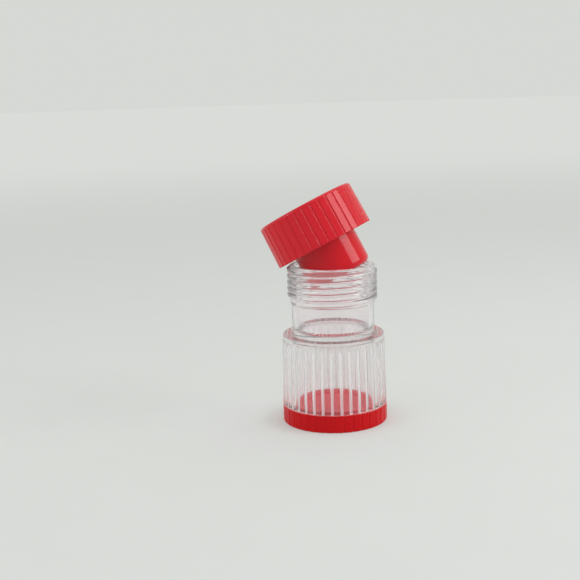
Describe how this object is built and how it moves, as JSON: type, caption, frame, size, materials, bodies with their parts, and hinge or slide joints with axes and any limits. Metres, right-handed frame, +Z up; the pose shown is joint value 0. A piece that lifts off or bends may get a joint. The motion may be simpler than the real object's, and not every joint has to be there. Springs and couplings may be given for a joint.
{
  "type": "pill crusher",
  "caption": "Hand pill crusher: ridged screw cap with a plunger, clear crushing cup with a threaded neck, ribbed housing with a pill store, and a screwed base lid.",
  "frame": {"origin": "centre of the base lid's flat underside", "axes": "+Z up along the common axis of lid, housing and cup; +X to the right and +Y to the back as seen from the front, with the open cap leaning to the left"},
  "size_m": [0.0493, 0.0444, 0.0967],
  "materials": {
    "base_lid": "gloss",
    "lid_seal": "satin",
    "housing": "clear",
    "cup": "clear",
    "plunger": "gloss",
    "cap_shell": "gloss"
  },
  "bodies": {
    "base": {"base_lid": "base_lid"},
    "seal": {"lid_seal": "lid_seal"},
    "container": {"housing": "housing", "cup": "cup"},
    "press": {"plunger": "plunger"},
    "cap": {"cap_shell": "cap_shell"}
  },
  "joints": [
    {"name": "base_turn", "type": "hinge", "parent": "base", "child": "seal", "pos_m": [0, 0, 0], "axis": [0, 0, 1], "range_deg": [0, 720]},
    {"name": "base_rise", "type": "slide", "parent": "seal", "child": "container", "axis": [0, 0, 1], "range_m": [0, 0.00501]},
    {"name": "cap_lift", "type": "slide", "parent": "container", "child": "press", "axis": [-0.4501, 0.1305, 0.8834], "range_m": [0, 0.045]},
    {"name": "cap_turn", "type": "hinge", "parent": "press", "child": "cap", "pos_m": [-0.00255, 0.001, 0.0721], "axis": [-0.4501, 0.1305, 0.8834], "continuous": true}
  ],
  "couplings": [
    {"joint": "base_rise", "follows": "base_turn", "m_per_rad": 0.00039789}
  ]
}
